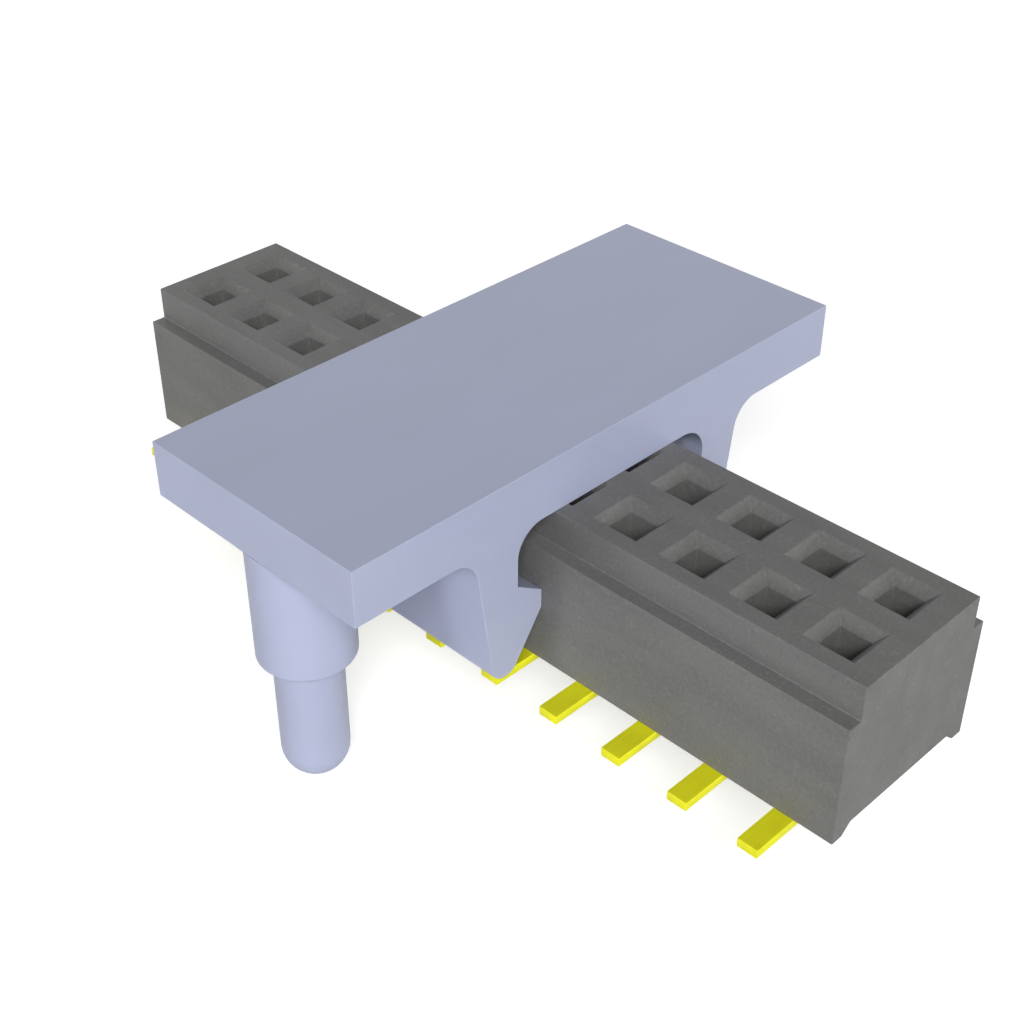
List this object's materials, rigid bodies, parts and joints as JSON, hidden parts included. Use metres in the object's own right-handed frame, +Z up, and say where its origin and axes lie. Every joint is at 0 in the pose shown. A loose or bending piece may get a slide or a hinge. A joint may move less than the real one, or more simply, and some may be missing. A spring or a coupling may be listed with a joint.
{
  "type": "pcb socket",
  "caption": "Surface-mount two-row pin socket with stamped spring contacts, flat solder tails and a clip-on pick-and-place cap that has a locating peg.",
  "frame": {"origin": "middle of the solder footprint, on the face of the board, between the two rows and halfway along them", "axes": "+X along the rows, +Y from the front row, which has the locating peg, to the rear row, +Z up from the board"},
  "size_m": [0.0246, 0.0164, 0.0087],
  "materials": {
    "housing_plastic": "fine moulded, dark grey",
    "cap_plastic": "smooth moulded, light blue-grey",
    "contact_metal": "plated, yellow"
  },
  "bodies": {
    "socket": {"housing": "housing_plastic", "front_contact_01": "contact_metal", "front_contact_02": "contact_metal", "front_contact_03": "contact_metal", "front_contact_04": "contact_metal", "front_contact_05": "contact_metal", "front_contact_06": "contact_metal", "front_contact_07": "contact_metal", "front_contact_08": "contact_metal", "front_contact_09": "contact_metal", "front_contact_10": "contact_metal", "front_contact_11": "contact_metal", "front_contact_12": "contact_metal", "rear_contact_01": "contact_metal", "rear_contact_02": "contact_metal", "rear_contact_03": "contact_metal", "rear_contact_04": "contact_metal", "rear_contact_05": "contact_metal", "rear_contact_06": "contact_metal", "rear_contact_07": "contact_metal", "rear_contact_08": "contact_metal", "rear_contact_09": "contact_metal", "rear_contact_10": "contact_metal", "rear_contact_11": "contact_metal", "rear_contact_12": "contact_metal"},
    "cap": {"pick_and_place_cap": "cap_plastic"}
  },
  "joints": [
    {"name": "cap_pull_off", "type": "slide", "parent": "socket", "child": "cap", "axis": [0, 0, 1], "range_m": [0, 0.006]}
  ]
}
